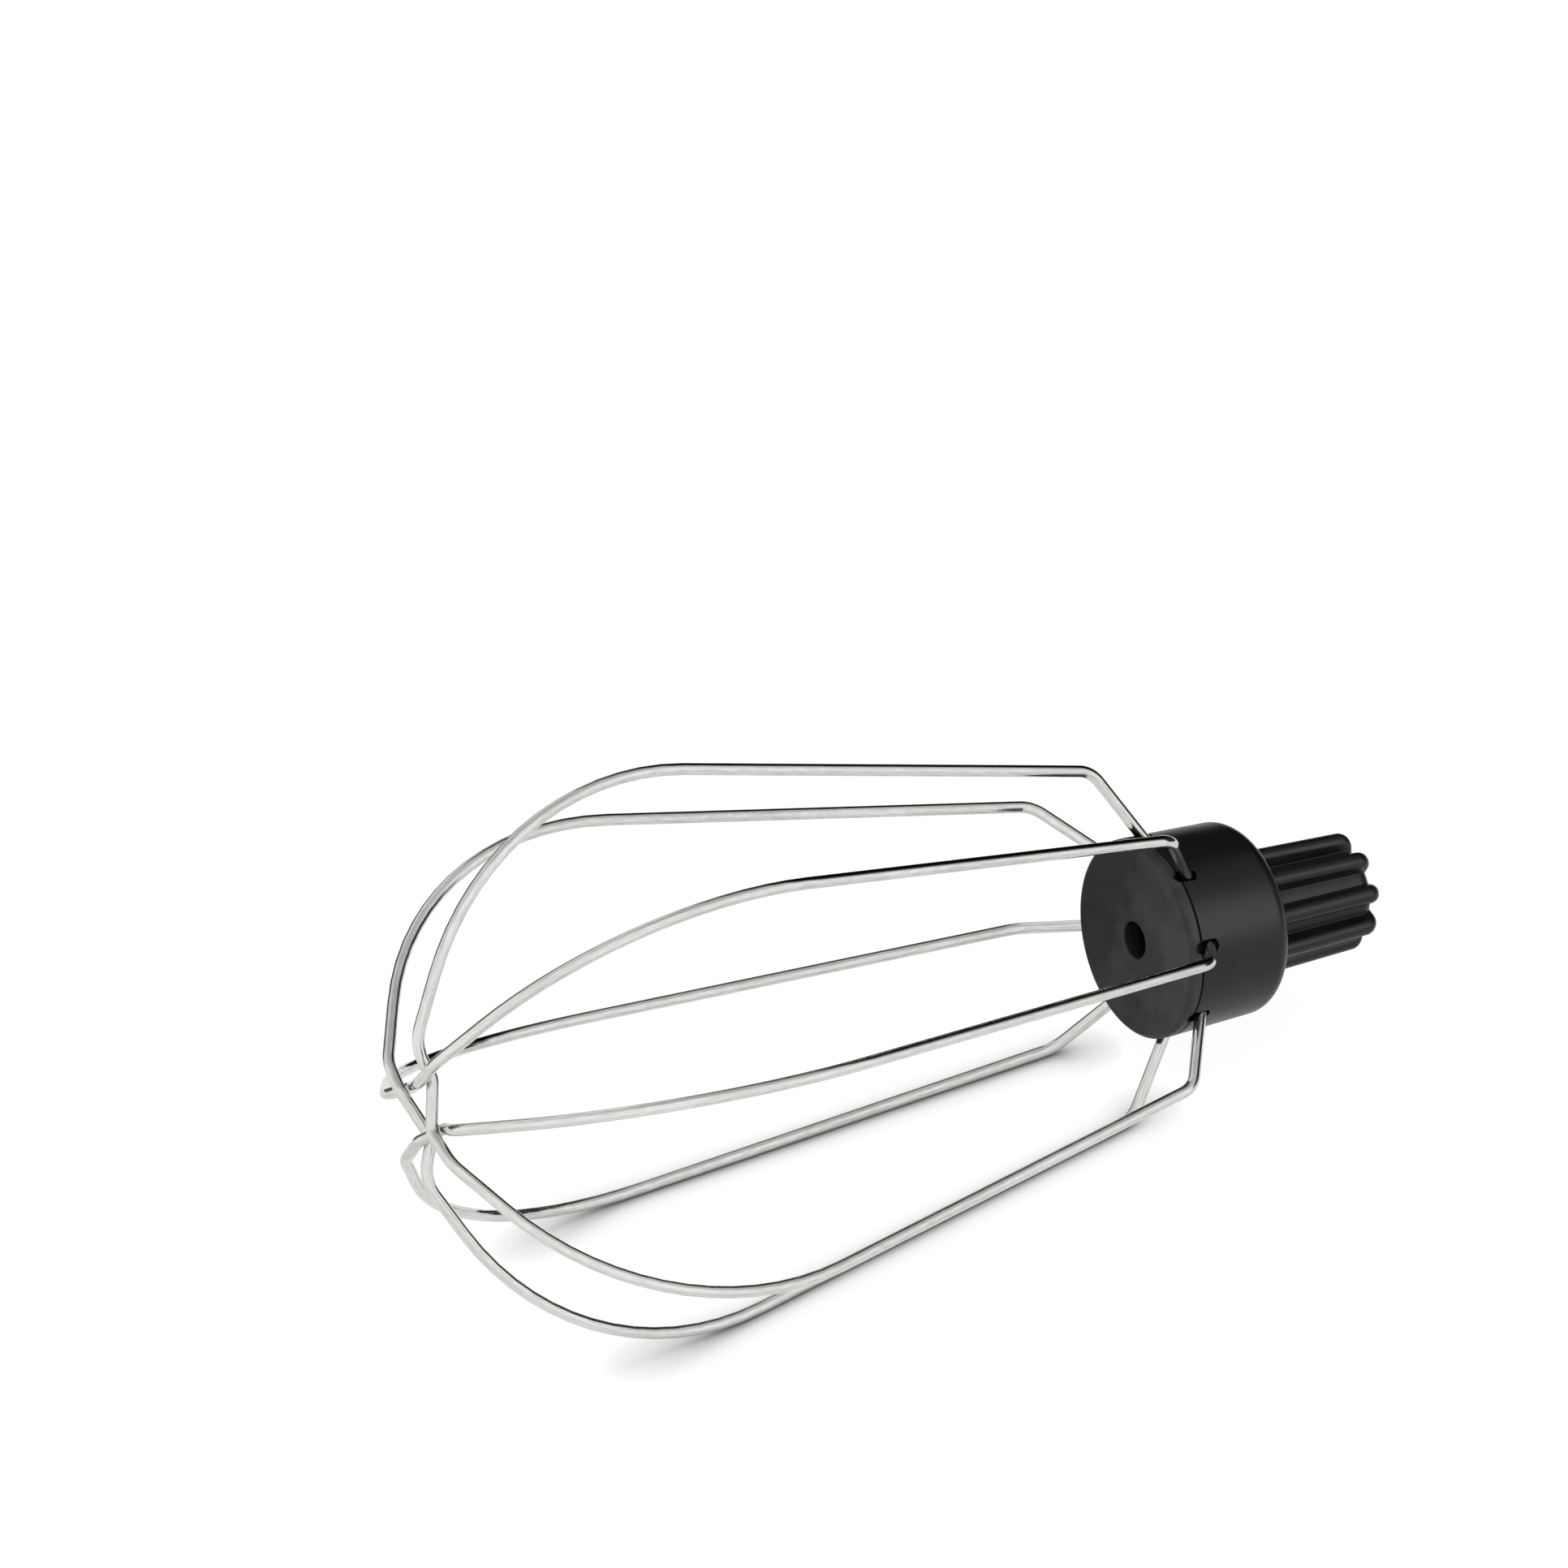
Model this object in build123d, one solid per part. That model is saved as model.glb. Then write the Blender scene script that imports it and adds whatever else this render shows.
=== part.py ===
from build123d import *
import math
import os

# A wire whisk for a stand mixer, lying on two of its wires as it comes to rest.
# It is modelled upright, with the hub's front face at height 0 and the nose up, and laid down at the end.
# Lengths are in millimetres and angles in degrees.

# Wire
WIRE_DIAMETER = 2.0
WIRE_CLEARANCE = 0.1

# Corners of one leg: distance from the axis, height above the hub's face, and bend radius
TAIL_LENGTH = 5.0
ROOT_RADIUS = 9.0
ROOT_HEIGHT = -9.0
ROOT_BEND = 2.5
SHOULDER_RADIUS = 29.6
SHOULDER_HEIGHT = 4.7
SHOULDER_BEND = 5.5
BELLY_RADIUS = 51.3
BELLY_HEIGHT = 114.5
BELLY_BEND = 47.2
NOSE_RADIUS = 11.3
NOSE_RISE = 21.9
NOSE_BEND = 7.0

# How far a leg turns away from its wire's other leg, about the axis
SHOULDER_SPREAD = 1.4
BELLY_SPREAD = 3.3
NOSE_SPREAD = -6.4

# Weave at the nose: half the width of the square between the wires, how far it sinks, and its bends
WEAVE_HALF_WIDTH = 3.7
WEAVE_DROP = 0.8
WEAVE_BEND = 2.5
WEAVE_SLACK = 0.35
# How far each crossing was pulled off a true square in threading, as X and Y in wire diameters
CROSSING_PULLS = [(-0.25, 0.4), (0.05, -0.6), (0.5, 0.15), (0.25, -0.05)]
# A wire's second leg is this many slots after its first
LEG_SPAN = 3
# Slots of the two legs that the whisk lies on
REST_SLOTS = (4, 5)

# Hub cap
HUB_DIAMETER = 34.0
CAP_THICKNESS = 2.3
CAP_EDGE_ROUND = 0.9
CAP_NOTCH_LIFT = 1.3
CAP_NOTCH_INSET = 0.9
CAP_KEY_INSET = 2.5
CENTRE_HOLE_DIAMETER = 6.4
SEAM_GAP = 0.35
SEAM_DEPTH = 0.6

# Hub body
BODY_LENGTH = 17.6
BODY_REAR_DIAMETER = 32.8
BODY_REAR_ROUND = 3.1
BODY_REAR_RISE = 2.7
CENTRE_HOLE_DEPTH = 20.0
MOUTH_CLEARANCE = 0.15
MOUTH_RELIEF = 0.4
MOUTH_INSET = 2.2

# Splined drive stub
STUB_LENGTH = 21.4
STUB_DIAMETER = 21.6
STUB_END_DIAMETER = 20.1
STUB_VALLEY_DIAMETER = 15.6
STUB_END_VALLEY_DIAMETER = 14.8
STUB_END_ROUND = 2.6
LOBES = 9
LOBE_WIDTH = 3.1
LOBE_TIP_FLAT = 0.2
# A valley of the stub lies in the direction midway between two neighbouring slots
VALLEY_SLOT = 1.5

# Derived values
WIRES = len(CROSSING_PULLS)
SLOTS = 2 * WIRES
SLOT_PITCH = 360 / SLOTS
LOBE_PITCH = 360 / LOBES
LOBE_ROUND = (LOBE_WIDTH - LOBE_TIP_FLAT) / 2
NOSE_HEIGHT = BELLY_HEIGHT + NOSE_RISE
WEAVE_HEIGHT = NOSE_HEIGHT - WEAVE_DROP
HUB_RADIUS = HUB_DIAMETER / 2
SEAM_HEIGHT = -CAP_THICKNESS
REAR_HEIGHT = SEAM_HEIGHT - BODY_LENGTH
STUB_HEIGHT = REAR_HEIGHT - BODY_REAR_RISE
LEAN = (SHOULDER_HEIGHT - ROOT_HEIGHT) / (SHOULDER_RADIUS - ROOT_RADIUS)
CHANNEL_WIDTH = WIRE_DIAMETER + 2 * WIRE_CLEARANCE
CHANNEL_REACH = CHANNEL_WIDTH / 2 * math.hypot(1, LEAN)
MOUTH_WIDTH = WIRE_DIAMETER + 2 * MOUTH_CLEARANCE
EXIT_RADIUS = HUB_RADIUS + WIRE_DIAMETER
# The cap lies over the wires up to here: the hub's wall, or where the wires rise to the seam
COVER_RADIUS = min(HUB_RADIUS, ROOT_RADIUS + (SEAM_HEIGHT - CHANNEL_REACH - ROOT_HEIGHT) / LEAN)


def polar(radius, azimuth, height):
    """A point by its distance from the axis, its angle about it and its height."""
    turn = math.radians(azimuth)
    return Vector(radius * math.cos(turn), radius * math.sin(turn), height)


def slot_azimuth(slot):
    """Direction of a wire slot, counted clockwise as seen from the nose."""
    return -SLOT_PITCH * slot


def leg_slots(index):
    """The slots of a wire's two legs."""
    first = SLOTS // WIRES * index
    return first, first + LEG_SPAN


def leg_corners(slot):
    """Corners of the leg in a slot, from its tail in the hub to the nose."""
    azimuth = slot_azimuth(slot)
    away = 1 if slot % 2 == 0 else -1
    return [
        polar(ROOT_RADIUS, azimuth, ROOT_HEIGHT - TAIL_LENGTH),
        polar(ROOT_RADIUS, azimuth, ROOT_HEIGHT),
        polar(SHOULDER_RADIUS, azimuth + away * SHOULDER_SPREAD, SHOULDER_HEIGHT),
        polar(BELLY_RADIUS, azimuth + away * BELLY_SPREAD, BELLY_HEIGHT),
        polar(NOSE_RADIUS, azimuth + away * NOSE_SPREAD, NOSE_HEIGHT),
    ]


def crossing(index, lift):
    """A corner at the place where a wire crosses over the next one, lifted clear of it."""
    radius = WEAVE_HALF_WIDTH / math.cos(math.radians(SLOT_PITCH))
    azimuth = (slot_azimuth(leg_slots(index)[1]) + slot_azimuth(leg_slots(index + 1)[0])) / 2
    pull = WIRE_DIAMETER * Vector(*CROSSING_PULLS[index % WIRES])
    rise = lift * (WIRE_DIAMETER + WEAVE_SLACK) / 2
    return polar(radius, azimuth, WEAVE_HEIGHT + rise) + pull


def whisk_wire(index):
    """One wire: up a leg, under one neighbour and over the other at the nose, and down a leg."""
    first_leg, last_leg = [leg_corners(slot) for slot in leg_slots(index)]
    weave = [crossing(index - 1, -1), crossing(index, 1)]
    leg_bends = [ROOT_BEND, SHOULDER_BEND, BELLY_BEND, NOSE_BEND]
    bends = leg_bends + [WEAVE_BEND, WEAVE_BEND] + leg_bends[::-1]
    path = FilletPolyline(*first_leg, *weave, *last_leg[::-1], radius=bends)
    section = Plane(origin=path @ 0, z_dir=path % 0) * Circle(WIRE_DIAMETER / 2)
    return sweep(section, path=path)


def run_point(slot, radius):
    """A point on a leg's leaning run between root and shoulder."""
    root, shoulder = leg_corners(slot)[1:3]
    return root + (shoulder - root) * ((radius - ROOT_RADIUS) / (SHOULDER_RADIUS - ROOT_RADIUS))


def slot_plate(slot, corners, width):
    """An upright plate in the plane of a leg's leaning run, from its corners as radius and height."""
    spots = [(run_point(slot, radius), height) for radius, height in corners]
    outline = Polyline(*[(spot.X, spot.Y, height) for spot, height in spots], close=True)
    return extrude(make_face(outline), amount=width / 2, both=True)


def plate_over_run(slot, inner, outer, lift, top, width):
    """A plate along a leg's leaning run, from a lift above the run's middle to a height."""
    feet = [(radius, run_point(slot, radius).Z + lift) for radius in (inner, outer)]
    return slot_plate(slot, feet + [(outer, top), (inner, top)], width)


def wire_channel(slot):
    """The pocket for one wire's root in the hub, open towards the cap, with room for the root's bend."""
    inner = ROOT_RADIUS - CHANNEL_WIDTH / 2
    outer = ROOT_RADIUS + CHANNEL_WIDTH / 2 + ROOT_BEND / 2
    bottom = ROOT_HEIGHT - TAIL_LENGTH - WIRE_CLEARANCE
    ramp = [(radius, run_point(slot, radius).Z - CHANNEL_REACH) for radius in (outer, EXIT_RADIUS)]
    top = [(EXIT_RADIUS, SHOULDER_HEIGHT), (inner, SHOULDER_HEIGHT)]
    return slot_plate(slot, [(inner, bottom), (outer, bottom)] + ramp + top, CHANNEL_WIDTH)


def mouth_end(slot, inner, lift):
    """The round end of a wire's slot at the hub's wall: a bar along the leg's run, at a lift above it."""
    start, end = [run_point(slot, radius) + Vector(0, 0, lift) for radius in (inner, EXIT_RADIUS)]
    return extrude(Plane(origin=start, z_dir=end - start) * Circle(MOUTH_WIDTH / 2), (end - start).length)


def slot_mouth(slot):
    """The wider end of a wire's slot at the hub's wall, a little deeper than the wire."""
    inner = HUB_RADIUS - MOUTH_INSET
    plate = plate_over_run(slot, inner, EXIT_RADIUS, -MOUTH_RELIEF, SHOULDER_HEIGHT, MOUTH_WIDTH)
    return mouth_end(slot, inner, -MOUTH_RELIEF) + plate


def cap_key(slot):
    """The rib under the cap that holds one wire down in its channel."""
    outer = COVER_RADIUS - CAP_KEY_INSET
    return plate_over_run(slot, ROOT_RADIUS, outer, CHANNEL_REACH, SEAM_HEIGHT, WIRE_DIAMETER)


def cap_notch(slot):
    """The notch in the cap's rim that carries the slot's mouth on above the wire."""
    inner = COVER_RADIUS - CAP_NOTCH_INSET
    feet = [(radius, run_point(slot, radius).Z) for radius in (inner, EXIT_RADIUS)]
    heads = [(radius, height + CAP_NOTCH_LIFT) for radius, height in feet[::-1]]
    return mouth_end(slot, inner, CAP_NOTCH_LIFT) + slot_plate(slot, feet + heads, MOUTH_WIDTH)


def in_every_slot(make):
    """What a function makes for a slot, made for all of them."""
    return [make(slot) for slot in range(SLOTS)]


def hub_cap():
    """The disc that closes the front of the hub and holds the wires in, with a groove round its seam."""
    upwards = (Align.CENTER, Align.CENTER, Align.MIN)
    wall = Pos(0, 0, SEAM_HEIGHT + SEAM_GAP) * Cylinder(HUB_RADIUS, CAP_THICKNESS - SEAM_GAP, align=upwards)
    wall = fillet(wall.edges().group_by(Axis.Z)[-1], CAP_EDGE_ROUND)
    seat = Pos(0, 0, SEAM_HEIGHT) * Cylinder(HUB_RADIUS - SEAM_DEPTH, SEAM_GAP, align=upwards)
    hole = Pos(0, 0, SEAM_HEIGHT) * Cylinder(CENTRE_HOLE_DIAMETER / 2, CAP_THICKNESS, align=upwards)
    return wall + seat - hole - in_every_slot(cap_notch) + in_every_slot(cap_key)


def stub_section(inner, root, end):
    """Half a lengthwise section of the stub: from an inner radius to a drafted edge with a rounded end."""
    low = STUB_HEIGHT - STUB_LENGTH
    corner = (end, 0, low)
    outline = Polyline((inner, 0, STUB_HEIGHT), (root, 0, STUB_HEIGHT), corner, (inner, 0, low), close=True)
    section = make_face(outline)
    return fillet(section.vertices().sort_by_distance(corner)[0], STUB_END_ROUND)


def stub_lobe():
    """One lobe of the stub: a rib out of the core, with a round edge along its tip and round its end."""
    inner = STUB_END_VALLEY_DIAMETER / 2 - STUB_END_ROUND
    side = stub_section(inner, STUB_DIAMETER / 2, STUB_END_DIAMETER / 2)
    rib = extrude(side, amount=LOBE_WIDTH / 2, both=True)
    buried = rib.faces().sort_by(Axis.Z)[-1].edges() + rib.faces().sort_by(Axis.X)[0].edges()
    across = rib.edges().filter_by(Axis.Y)
    return fillet(rib.edges() - buried - across, LOBE_ROUND)


def drive_stub():
    """The splined stub behind the body: lobes about a core, a little slimmer towards a rounded end."""
    core = revolve(stub_section(0, STUB_VALLEY_DIAMETER / 2, STUB_END_VALLEY_DIAMETER / 2), Axis.Z)
    first = slot_azimuth(VALLEY_SLOT) + LOBE_PITCH / 2
    return core + [Rot(0, 0, first + LOBE_PITCH * count) * stub_lobe() for count in range(LOBES)]


def hub_body():
    """The hub behind the cap: a drafted drum with a coned back and the drive stub."""
    profile = make_face(
        Polyline(
            (0, 0, SEAM_HEIGHT),
            (HUB_RADIUS, 0, SEAM_HEIGHT),
            (BODY_REAR_DIAMETER / 2, 0, REAR_HEIGHT),
            (STUB_DIAMETER / 2, 0, STUB_HEIGHT),
            (0, 0, STUB_HEIGHT),
            close=True,
        )
    )
    rear_corner = profile.vertices().sort_by_distance((BODY_REAR_DIAMETER / 2, 0, REAR_HEIGHT))[0]
    drum = revolve(fillet(rear_corner, BODY_REAR_ROUND), Axis.Z)
    hole = Pos(0, 0, -CENTRE_HOLE_DEPTH / 2) * Cylinder(CENTRE_HOLE_DIAMETER / 2, CENTRE_HOLE_DEPTH)
    return drum + drive_stub() - hole - in_every_slot(wire_channel) - in_every_slot(slot_mouth)


def resting_place(pieces):
    """The move that lays the whisk on the straight runs of two neighbouring legs, nose towards -X."""
    reach = [
        (SHOULDER_RADIUS, SHOULDER_SPREAD, SHOULDER_HEIGHT),
        (BELLY_RADIUS, BELLY_SPREAD, BELLY_HEIGHT),
    ]
    (low, start), (high, end) = [
        (radius * math.cos(math.radians(SLOT_PITCH / 2 + spread)), height)
        for radius, spread, height in reach
    ]
    tilt = math.degrees(math.atan2(high - low, end - start))
    down = sum(slot_azimuth(slot) for slot in REST_SLOTS) / len(REST_SLOTS)
    lay = Rot(0, tilt - 90, 0) * Rot(0, 0, 180 - down)
    shoulder = lay * Pos(leg_corners(REST_SLOTS[0])[2])
    box = Compound([lay * piece for piece in pieces]).bounding_box()
    centre = box.center()
    return Pos(-centre.X, -centre.Y, WIRE_DIAMETER / 2 - shoulder.position.Z) * lay


def main():
    """Builds every piece, lays the whisk down and writes one file a piece."""
    pieces = {f"wire_{index + 1}": whisk_wire(index) for index in range(WIRES)}
    pieces["hub_body"] = hub_body()
    pieces["hub_cap"] = hub_cap()
    place = resting_place(pieces.values())
    os.makedirs("parts", exist_ok=True)
    for name, piece in pieces.items():
        export_step(place * piece, f"parts/{name}.step")


main()
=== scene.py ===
import math

import bmesh
import bpy
import numpy as np
from mathutils import Matrix, Vector


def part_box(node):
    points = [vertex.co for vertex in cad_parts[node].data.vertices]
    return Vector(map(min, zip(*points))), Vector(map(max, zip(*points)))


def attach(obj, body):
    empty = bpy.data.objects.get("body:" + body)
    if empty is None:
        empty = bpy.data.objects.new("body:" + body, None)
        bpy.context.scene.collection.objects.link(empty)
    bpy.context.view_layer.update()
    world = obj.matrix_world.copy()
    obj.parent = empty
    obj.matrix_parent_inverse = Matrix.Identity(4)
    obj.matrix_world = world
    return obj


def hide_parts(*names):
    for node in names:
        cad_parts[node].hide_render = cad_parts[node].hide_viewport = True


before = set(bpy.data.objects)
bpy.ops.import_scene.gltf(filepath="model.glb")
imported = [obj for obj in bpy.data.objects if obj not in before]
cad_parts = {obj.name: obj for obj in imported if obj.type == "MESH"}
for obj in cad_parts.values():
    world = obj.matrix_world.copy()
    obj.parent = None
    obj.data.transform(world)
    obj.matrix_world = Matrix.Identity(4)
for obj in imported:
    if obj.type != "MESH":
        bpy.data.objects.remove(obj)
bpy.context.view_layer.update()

# A wire whisk for a stand mixer: bright drawn steel wires in a black moulded hub, on a pale studio floor.
# The frame's lengths are metres; the wire's own sizes below are millimetres.
MM = 0.001

# Camera, as the photograph was taken
CAMERA_PLACE = Vector((-0.51708, -0.89681, 0.80712))
CAMERA_FORWARD = Vector((0.3974, 0.7149, -0.5754))
CAMERA_RIGHT = Vector((0.8542, -0.5172, -0.0527))
CAMERA_LENS = 181.19
CAMERA_SENSOR = 36.0
CAMERA_CLIP = (0.05, 50.0)

# Wire: its own corners, as distance from the axis, height above the hub's face, and bend radius
WIRE_DIAMETER = 2.0
TAIL_LENGTH = 5.0
ROOT = (9.0, -9.0, 2.5)
SHOULDER = (29.6, 4.7, 5.5)
BELLY = (51.3, 114.5, 47.2)
NOSE = (11.3, 136.4, 7.0)
SHOULDER_SPREAD = 1.4
BELLY_SPREAD = 3.3
NOSE_SPREAD = -6.4
WEAVE_HALF_WIDTH = 3.7
WEAVE_HEIGHT = 135.6
WEAVE_BEND = 2.5
WEAVE_SLACK = 0.35
CROSSING_PULLS = [(-0.25, 0.4), (0.05, -0.6), (0.5, 0.15), (0.25, -0.05)]
LEG_SPAN = 3
REST_SLOTS = (4, 5)

# Fineness of the wire's mesh
WIRE_SIDES = 32
ARC_STEP = math.radians(5)
FEWEST_ARC_STEPS = 3
RUN_STEP = 1.5

WIRES = len(CROSSING_PULLS)
SLOTS = 2 * WIRES
SLOT_PITCH = 360 / SLOTS


def polar(radius, azimuth, height):
    """A point by its distance from the whisk's axis, its angle about it and its height."""
    turn = math.radians(azimuth)
    return Vector((radius * math.cos(turn), radius * math.sin(turn), height))


def slot_azimuth(slot):
    """Direction of a wire slot, counted clockwise as seen from the nose."""
    return -SLOT_PITCH * slot


def leg_slots(index):
    """The slots of a wire's two legs."""
    first = SLOTS // WIRES * index
    return first, first + LEG_SPAN


def leg_corners(slot):
    """Corners of the leg in a slot, from its tail in the hub to the nose."""
    azimuth = slot_azimuth(slot)
    away = 1 if slot % 2 == 0 else -1
    return [
        polar(ROOT[0], azimuth, ROOT[1] - TAIL_LENGTH),
        polar(ROOT[0], azimuth, ROOT[1]),
        polar(SHOULDER[0], azimuth + away * SHOULDER_SPREAD, SHOULDER[1]),
        polar(BELLY[0], azimuth + away * BELLY_SPREAD, BELLY[1]),
        polar(NOSE[0], azimuth + away * NOSE_SPREAD, NOSE[1]),
    ]


def crossing(index, lift):
    """The corner where a wire crosses over the next one, or under the last."""
    radius = WEAVE_HALF_WIDTH / math.cos(math.radians(SLOT_PITCH))
    azimuth = (slot_azimuth(leg_slots(index)[1]) + slot_azimuth(leg_slots(index + 1)[0])) / 2
    pull = CROSSING_PULLS[index % WIRES]
    rise = lift * (WIRE_DIAMETER + WEAVE_SLACK) / 2
    return polar(radius, azimuth, WEAVE_HEIGHT + rise) + WIRE_DIAMETER * Vector((*pull, 0))


def wire_route(index):
    """Corners of one wire and the bend radius at each inner corner."""
    first_leg, last_leg = [leg_corners(slot) for slot in leg_slots(index)]
    corners = first_leg + [crossing(index - 1, -1), crossing(index, 1)] + last_leg[::-1]
    leg_bends = [ROOT[2], SHOULDER[2], BELLY[2], NOSE[2]]
    return corners, leg_bends + [WEAVE_BEND, WEAVE_BEND] + leg_bends[::-1]


def bent_line(corners, bends):
    """Points along straight runs with an arc at each inner corner."""
    points = [corners[0]]
    for before, corner, after, bend in zip(corners, corners[1:], corners[2:], bends):
        inward, outward = (before - corner).normalized(), (after - corner).normalized()
        turn = math.pi - inward.angle(outward)
        reach = bend * math.tan(turn / 2)
        centre = corner + (inward + outward).normalized() * (bend / math.cos(turn / 2))
        start = corner + inward * reach
        arm, tangent = (start - centre) / bend, -inward
        steps = max(FEWEST_ARC_STEPS, math.ceil(turn / ARC_STEP))
        for step in range(steps + 1):
            angle = turn * step / steps
            points.append(centre + bend * (arm * math.cos(angle) + tangent * math.sin(angle)))
    points.append(corners[-1])
    return points


def close_steps(points):
    """The same line with long runs divided, so that no step is longer than a run step."""
    line = [points[0]]
    for start, end in zip(points, points[1:]):
        count = max(1, math.ceil((end - start).length / RUN_STEP))
        line += [start.lerp(end, step / count) for step in range(1, count + 1)]
    return line


def resting_turn():
    """The turn that lays the upright whisk on two of its legs, nose towards -X."""
    feet = [(SHOULDER, SHOULDER_SPREAD), (BELLY, BELLY_SPREAD)]
    (low, start), (high, end) = [
        (corner[0] * math.cos(math.radians(SLOT_PITCH / 2 + spread)), corner[1]) for corner, spread in feet
    ]
    tilt = math.atan2(high - low, end - start)
    down = sum(slot_azimuth(slot) for slot in REST_SLOTS) / len(REST_SLOTS)
    lay = Matrix.Rotation(tilt - math.pi / 2, 3, "Y")
    return lay @ Matrix.Rotation(math.radians(180 - down), 3, "Z")


def ring_frames(line):
    """A side and an up direction at each point of a line, carried along it without twist."""
    ways = [(after - before).normalized() for before, after in zip(line[:1] + line, line[1:] + line[-1:])]
    side = ways[0].orthogonal().normalized()
    frames = []
    for way in ways:
        side = (side - way * side.dot(way)).normalized()
        frames.append((side, way.cross(side)))
    return frames


def wire_mesh(name, line):
    """A round tube along a line, with the place of each vertex on the straightened wire."""
    radius = WIRE_DIAMETER / 2 * MM
    mesh = bmesh.new()
    straight = mesh.verts.layers.float_vector.new("straight")
    rings, along = [], 0.0
    for spot, (side, up), last in zip(line, ring_frames(line), line[:1] + line):
        along += (spot - last).length
        ring = []
        for count in range(WIRE_SIDES):
            angle = 2 * math.pi * count / WIRE_SIDES
            vertex = mesh.verts.new(spot + radius * (side * math.cos(angle) + up * math.sin(angle)))
            vertex[straight] = (along, radius * math.cos(angle), radius * math.sin(angle))
            ring.append(vertex)
        rings.append(ring)
    for ring, following in zip(rings, rings[1:]):
        for count in range(WIRE_SIDES):
            near, far = count, (count + 1) % WIRE_SIDES
            mesh.faces.new((ring[near], ring[far], following[far], following[near])).smooth = True
    mesh.faces.new(rings[0][::-1])
    mesh.faces.new(rings[-1])
    data = bpy.data.meshes.new(name)
    mesh.to_mesh(data)
    mesh.free()
    return data


def node(tree, kind, **settings):
    """A shader node, with its properties and its unlinked inputs set by name."""
    made = tree.nodes.new(kind)
    for name, value in settings.items():
        if name in made.inputs:
            made.inputs[name].default_value = value
        else:
            setattr(made, name, value)
    return made


def fresh_tree(owner):
    """An empty node tree on a material or world."""
    owner.use_nodes = True
    owner.node_tree.nodes.clear()
    return owner.node_tree


def noise(tree, vector, stretch, detail=3.0, roughness=0.55):
    """Noise over a vector that is first stretched along its axes."""
    scale = node(tree, "ShaderNodeVectorMath", operation="MULTIPLY")
    scale.inputs[1].default_value = stretch
    texture = node(tree, "ShaderNodeTexNoise", Scale=1.0, Detail=detail, Roughness=roughness)
    tree.links.new(vector, scale.inputs[0])
    tree.links.new(scale.outputs[0], texture.inputs["Vector"])
    return texture.outputs["Fac"]


def ramp(tree, value, span, results, shape="LINEAR"):
    """A value's span moved to a span of results, and held there."""
    made = node(tree, "ShaderNodeMapRange", clamp=True, interpolation_type=shape)
    for socket, limit in zip(made.inputs[1:5], (*span, *results)):
        socket.default_value = limit
    tree.links.new(value, made.inputs[0])
    return made.outputs[0]


def compute(tree, operation, first, second):
    """One operation on two values, either of which may be a number."""
    made = node(tree, "ShaderNodeMath", operation=operation)
    for socket, value in zip(made.inputs, (first, second)):
        if isinstance(value, (int, float)):
            socket.default_value = value
        else:
            tree.links.new(value, socket)
    return made.outputs[0]


def project(tree, vector, way):
    """How far a vector reaches in a direction."""
    made = node(tree, "ShaderNodeVectorMath", operation="DOT_PRODUCT")
    made.inputs[1].default_value = way
    tree.links.new(vector, made.inputs[0])
    return made.outputs["Value"]


def blend_colour(tree, share, first, second):
    """A colour between two, by a share."""
    made = node(tree, "ShaderNodeMix", data_type="RGBA")
    colours = [socket for socket in made.inputs if socket.type == "RGBA"]
    for socket, colour in zip(colours, (first, second)):
        socket.default_value = colour
    tree.links.new(share, made.inputs[0])
    return next(socket for socket in made.outputs if socket.type == "RGBA")


def bump(tree, height, strength, distance, normal=None):
    """A bump from a height, over an earlier one."""
    made = node(tree, "ShaderNodeBump", Strength=strength, Distance=distance)
    tree.links.new(height, made.inputs["Height"])
    if normal:
        tree.links.new(normal, made.inputs["Normal"])
    return made.outputs["Normal"]


def surface(tree, shader):
    """Links a shader to the tree's output."""
    tree.links.new(shader, node(tree, "ShaderNodeOutputMaterial").inputs["Surface"])


# The middle part of a noise's values, and the span of a share
NOISE_SPAN = (0.3, 0.7)
SHARE = (0.0, 1.0)

# Steel: its brightest and dullest colour, and how many grains a metre has along the wire and across it
STEEL_BRIGHT = (0.78, 0.78, 0.765, 1)
STEEL_DULL = (0.61, 0.605, 0.582, 1)
STEEL_LINES = (190, 5200, 5200)
STEEL_STREAKS = (420, 2600, 2600)
STEEL_PITS = (3600, 3600, 3600)
STEEL_POLISH = (45, 260, 260)
# Where the dull colour starts and is full, which noise counts as a pit, the roughness that lines and pits
# give, and how strongly they tip the surface at a given depth in metres
STEEL_DULL_SPAN = (0.75, 1.25)
PIT_SPAN = (0.55, 0.75)
LINE_ROUGHNESS = (0.05, 0.09)
PIT_ROUGHNESS = (0.0, 0.07)
LINE_RELIEF = 0.24
PIT_RELIEF = 0.14
STEEL_DEPTH = 0.00004


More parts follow.
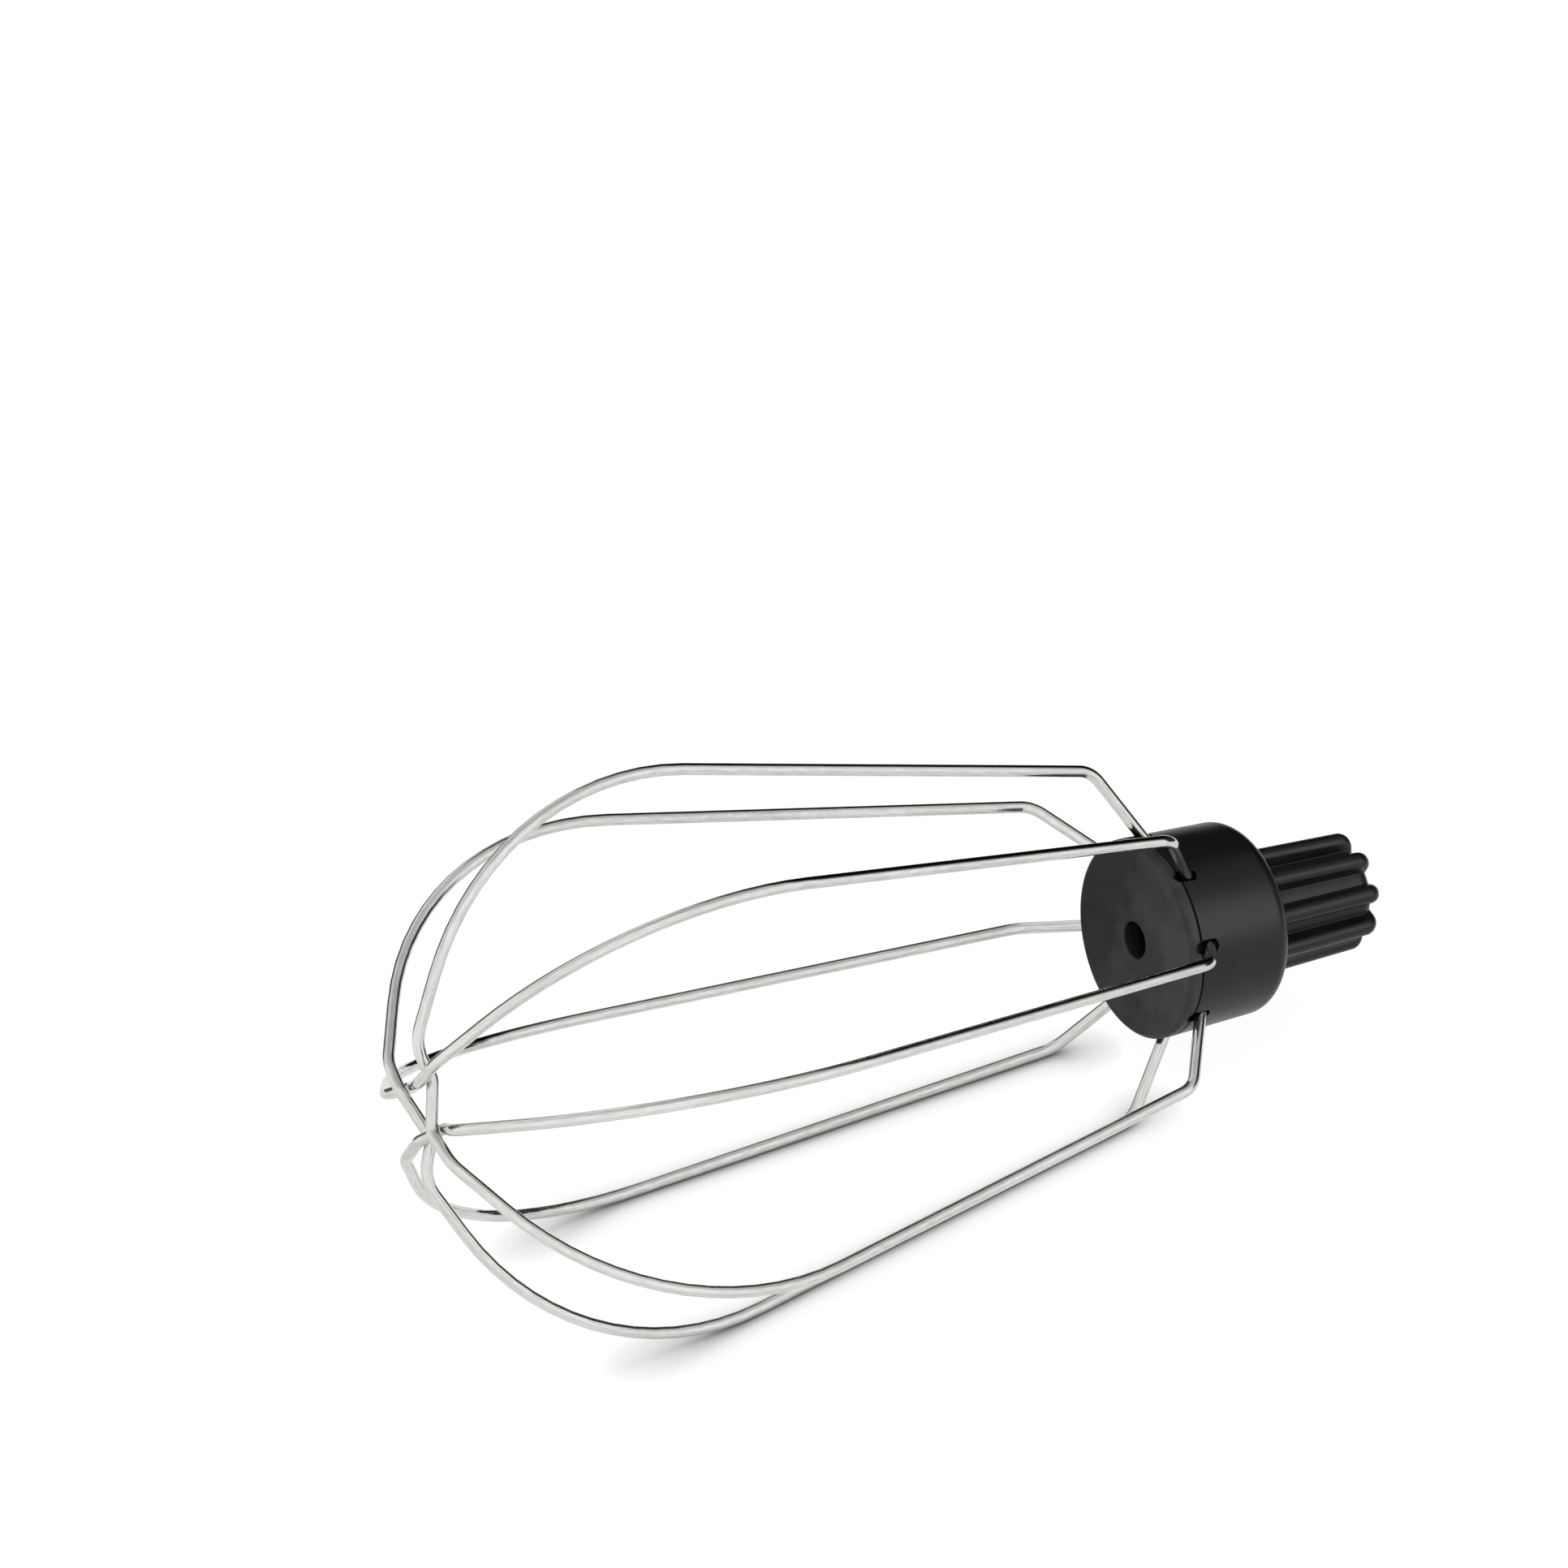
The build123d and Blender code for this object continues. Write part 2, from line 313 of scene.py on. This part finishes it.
def drawn_steel():
    """Bright drawn steel: die lines and duller streaks along the wire, fine pits, slow changes of polish."""
    material = bpy.data.materials.new("drawn_steel")
    tree = fresh_tree(material)
    spot = node(tree, "ShaderNodeAttribute", attribute_name="straight").outputs["Vector"]
    lines = noise(tree, spot, STEEL_LINES)
    streaks = noise(tree, spot, STEEL_STREAKS, detail=2.0)
    pits = noise(tree, spot, STEEL_PITS, detail=2.0)
    polish = noise(tree, spot, STEEL_POLISH, detail=4.0)
    dull = ramp(tree, compute(tree, "ADD", polish, streaks), STEEL_DULL_SPAN, SHARE)
    rough_lines = ramp(tree, lines, NOISE_SPAN, LINE_ROUGHNESS)
    rough_pits = ramp(tree, pits, PIT_SPAN, PIT_ROUGHNESS)
    relief = bump(tree, lines, LINE_RELIEF, STEEL_DEPTH)
    shader = node(tree, "ShaderNodeBsdfPrincipled", Metallic=1.0)
    tree.links.new(blend_colour(tree, dull, STEEL_BRIGHT, STEEL_DULL), shader.inputs["Base Color"])
    tree.links.new(compute(tree, "ADD", rough_lines, rough_pits), shader.inputs["Roughness"])
    tree.links.new(bump(tree, pits, PIT_RELIEF, STEEL_DEPTH, relief), shader.inputs["Normal"])
    surface(tree, shader.outputs[0])
    return material


# Plastic: how many grains and patches a metre has, and where the paler colour of worn patches and painted
# sheen starts and is full
PLASTIC_GRAIN = (5200, 5200, 5200)
PLASTIC_PATCHES = (110, 110, 110)
WEAR_AND_SHEEN_SPAN = (0.35, 0.75)
# The roughness that the grain gives, its strength and depth in metres, and the rounding of the moulded edges
GRAIN_ROUGHNESS = (-0.03, 0.03)
GRAIN_RELIEF = 0.15
GRAIN_DEPTH = 0.00003
EDGE_ROUNDING = 0.0003


def moulded_plastic(name, colour, worn_and_sheen, satin, gloss, painted_sheen_way):
    """Black moulded plastic: a fine grain, a paler tone in random worn patches, and a painted sheen that
    grows paler in one direction.
    """
    material = bpy.data.materials.new(name)
    tree = fresh_tree(material)
    spot = node(tree, "ShaderNodeTexCoord").outputs["Object"]
    grain = noise(tree, spot, PLASTIC_GRAIN, detail=2.0)
    patches = noise(tree, spot, PLASTIC_PATCHES, detail=4.0, roughness=0.6)
    # Painted sheen: the projection on the direction makes one side of the part paler, as reflected light
    # would; the noise patches alone are random wear.
    wear_and_sheen = ramp(tree, compute(tree, "ADD", patches, project(tree, spot, painted_sheen_way)), WEAR_AND_SHEEN_SPAN, SHARE)
    rough_patches = ramp(tree, patches, NOISE_SPAN, satin)
    rough_grain = ramp(tree, grain, NOISE_SPAN, GRAIN_ROUGHNESS)
    soft_edge = node(tree, "ShaderNodeBevel", samples=6, Radius=EDGE_ROUNDING).outputs[0]
    shader = node(tree, "ShaderNodeBsdfPrincipled", **{"Specular IOR Level": gloss})
    tree.links.new(blend_colour(tree, wear_and_sheen, colour, worn_and_sheen), shader.inputs["Base Color"])
    tree.links.new(compute(tree, "ADD", rough_patches, rough_grain), shader.inputs["Roughness"])
    tree.links.new(bump(tree, grain, GRAIN_RELIEF, GRAIN_DEPTH, soft_edge), shader.inputs["Normal"])
    surface(tree, shader.outputs[0])
    return material


# The floor's size in metres and its own tone
FLOOR_SIZE = 0.5
FLOOR_TONE = 0.8
# How far the floor turns into a white backdrop, to the camera and in mirrors, and the backdrop's light
BACKDROP_SEEN = 0.75
BACKDROP_MIRRORED = 0.48
BACKDROP_LIGHT = 1.22
# The backdrop's shadow close to the object: its reach in metres, its rays and how fast it deepens
CONTACT_REACH = 0.0075
CONTACT_RAYS = 4
CONTACT_DEPTH = 2.6


def backdrop_share(tree):
    """How far a ray sees the floor as a white backdrop."""
    path = node(tree, "ShaderNodeLightPath")
    glossy = compute(tree, "MAXIMUM", path.outputs["Is Glossy Ray"], path.outputs["Is Transmission Ray"])
    seen = compute(tree, "MULTIPLY", path.outputs["Is Camera Ray"], BACKDROP_SEEN)
    return compute(tree, "MAXIMUM", seen, compute(tree, "MULTIPLY", glossy, BACKDROP_MIRRORED))


def pale_floor():
    """A white floor that stays white to the camera and keeps the object's shadow."""
    bpy.ops.mesh.primitive_plane_add(size=FLOOR_SIZE)
    floor = bpy.context.object
    floor.name = "floor"
    material = bpy.data.materials.new("pale_floor")
    tree = fresh_tree(material)
    matte = node(tree, "ShaderNodeBsdfDiffuse", Color=(FLOOR_TONE, FLOOR_TONE, FLOOR_TONE, 1))
    contact = node(tree, "ShaderNodeAmbientOcclusion", samples=CONTACT_RAYS, Distance=CONTACT_REACH)
    open_share = compute(tree, "POWER", contact.outputs["AO"], CONTACT_DEPTH)
    backdrop = node(tree, "ShaderNodeEmission")
    tree.links.new(compute(tree, "MULTIPLY", open_share, BACKDROP_LIGHT), backdrop.inputs["Strength"])
    mix = node(tree, "ShaderNodeMixShader")
    tree.links.new(backdrop_share(tree), mix.inputs[0])
    tree.links.new(matte.outputs[0], mix.inputs[1])
    tree.links.new(backdrop.outputs[0], mix.inputs[2])
    surface(tree, mix.outputs[0])
    floor.data.materials.append(material)


def facing(azimuth, elevation):
    """A direction by its azimuth and elevation, in degrees."""
    return polar(math.cos(math.radians(elevation)), azimuth, math.sin(math.radians(elevation)))


# The studio's light, and its darker parts: azimuth, elevation, inner and outer half angle, change of light
STUDIO_LIGHT = 1.04
STUDIO_PARTS = [
    (18, -8, 40, 54, -0.97),
    (101, 0, 8, 40, -0.92),
    (20, 58, 1, 52, -0.45),
    (10, 28, 8, 18, -0.4),
    (40, 23, 22, 32, -0.88),
    (128, 64, 12, 40, -0.28),
]


def studio_world():
    """A soft white studio with a darker side, white where the camera sees it."""
    world = bpy.data.worlds.new("studio")
    bpy.context.scene.world = world
    tree = fresh_tree(world)
    way = node(tree, "ShaderNodeTexCoord").outputs["Generated"]
    light = STUDIO_LIGHT
    for azimuth, elevation, inner, outer, change in STUDIO_PARTS:
        edges = math.cos(math.radians(outer)), math.cos(math.radians(inner))
        closeness = project(tree, way, facing(azimuth, elevation))
        shade = ramp(tree, closeness, edges, (1.0, 1.0 + change), shape="SMOOTHSTEP")
        light = compute(tree, "MULTIPLY", light, shade)
    path = node(tree, "ShaderNodeLightPath")
    white = node(tree, "ShaderNodeBackground", Color=(1, 1, 1, 1), Strength=1.0)
    studio = node(tree, "ShaderNodeBackground", Color=(1, 1, 1, 1))
    choice = node(tree, "ShaderNodeMixShader")
    tree.links.new(light, studio.inputs["Strength"])
    tree.links.new(path.outputs["Is Camera Ray"], choice.inputs[0])
    tree.links.new(studio.outputs[0], choice.inputs[1])
    tree.links.new(white.outputs[0], choice.inputs[2])
    tree.links.new(choice.outputs[0], node(tree, "ShaderNodeOutputWorld").inputs["Surface"])


HUB_LIGHT_COLOUR = (0.9, 0.95, 1.0)


def hub_light(azimuth, elevation, distance, size, power):
    """A square soft light that faces the object and lights its hub only."""
    lamp = bpy.data.lights.new("hub_light", "AREA")
    lamp.size = size
    lamp.energy = power
    lamp.color = HUB_LIGHT_COLOUR
    made = bpy.data.objects.new("hub_light", lamp)
    made.location = facing(azimuth, elevation) * distance
    made.rotation_euler = (-made.location).to_track_quat("-Z", "Y").to_euler()
    bpy.context.scene.collection.objects.link(made)
    lit = bpy.data.collections.new("hub_lit")
    for name in ("hub_body", "hub_cap"):
        lit.objects.link(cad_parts[name])
    made.light_linking.receiver_collection = lit


def photo_camera():
    """The camera of the photograph."""
    lens = bpy.data.cameras.new("camera")
    lens.lens = CAMERA_LENS
    lens.sensor_width = CAMERA_SENSOR
    lens.clip_start, lens.clip_end = CAMERA_CLIP
    made = bpy.data.objects.new("camera", lens)
    forward = CAMERA_FORWARD.normalized()
    right = (CAMERA_RIGHT - forward * CAMERA_RIGHT.dot(forward)).normalized()
    turn = Matrix((right, right.cross(forward), -forward)).transposed()
    made.matrix_world = Matrix.Translation(CAMERA_PLACE) @ turn.to_4x4()
    bpy.context.scene.collection.objects.link(made)
    bpy.context.scene.camera = made


def middle(boxes):
    """The middle of several boxes together."""
    lows, highs = zip(*boxes)
    return Vector((np.min(lows, axis=0) + np.max(highs, axis=0)) / 2)


def whisk_wires(material):
    """The four wires, each in the place of its own node."""
    turn = resting_turn()
    meshes = []
    for index in range(WIRES):
        points = close_steps(bent_line(*wire_route(index)))
        meshes.append(wire_mesh(f"steel_wire_{index + 1}", [turn @ (point * MM) for point in points]))
    spots = [np.array([vertex.co for vertex in mesh.vertices]) for mesh in meshes]
    here = middle([(spot.min(0), spot.max(0)) for spot in spots])
    there = middle([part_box(f"wire_{index + 1}") for index in range(WIRES)])
    for index, mesh in enumerate(meshes):
        mesh.transform(Matrix.Translation(there - here))
        mesh.materials.append(material)
        wire = bpy.data.objects.new(mesh.name, mesh)
        bpy.context.scene.collection.objects.link(wire)
        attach(wire, "root")
        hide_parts(f"wire_{index + 1}")


def dress(name, material):
    """Gives a node of the frame its finish."""
    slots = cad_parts[name].data.materials
    slots.clear()
    slots.append(material)


photo_camera()
studio_world()
pale_floor()
hub_light(azimuth=-52, elevation=26, distance=0.9, size=0.6, power=1.8)
whisk_wires(drawn_steel())
body_black = moulded_plastic(
    "body_plastic",
    colour=(0.004, 0.004, 0.005, 1),
    # The body's paler colour falls in random worn patches only; its direction is zero, so it has no painted
    # sheen.
    worn_and_sheen=(0.008, 0.008, 0.009, 1),
    satin=(0.28, 0.38),
    gloss=0.3,
    painted_sheen_way=(0, 0, 0),
)
cap_black = moulded_plastic(
    "cap_plastic",
    colour=(0.003, 0.003, 0.003, 1),
    # Painted sheen: the cap turns paler towards -Y, one side lighter as reflected light would make it, over
    # its random worn patches.
    worn_and_sheen=(0.042, 0.042, 0.043, 1),
    satin=(0.34, 0.46),
    gloss=0.14,
    painted_sheen_way=(0, -16, 0),
)
dress("hub_body", body_black)
dress("hub_cap", cap_black)

bpy.context.scene.view_settings.view_transform = "Standard"
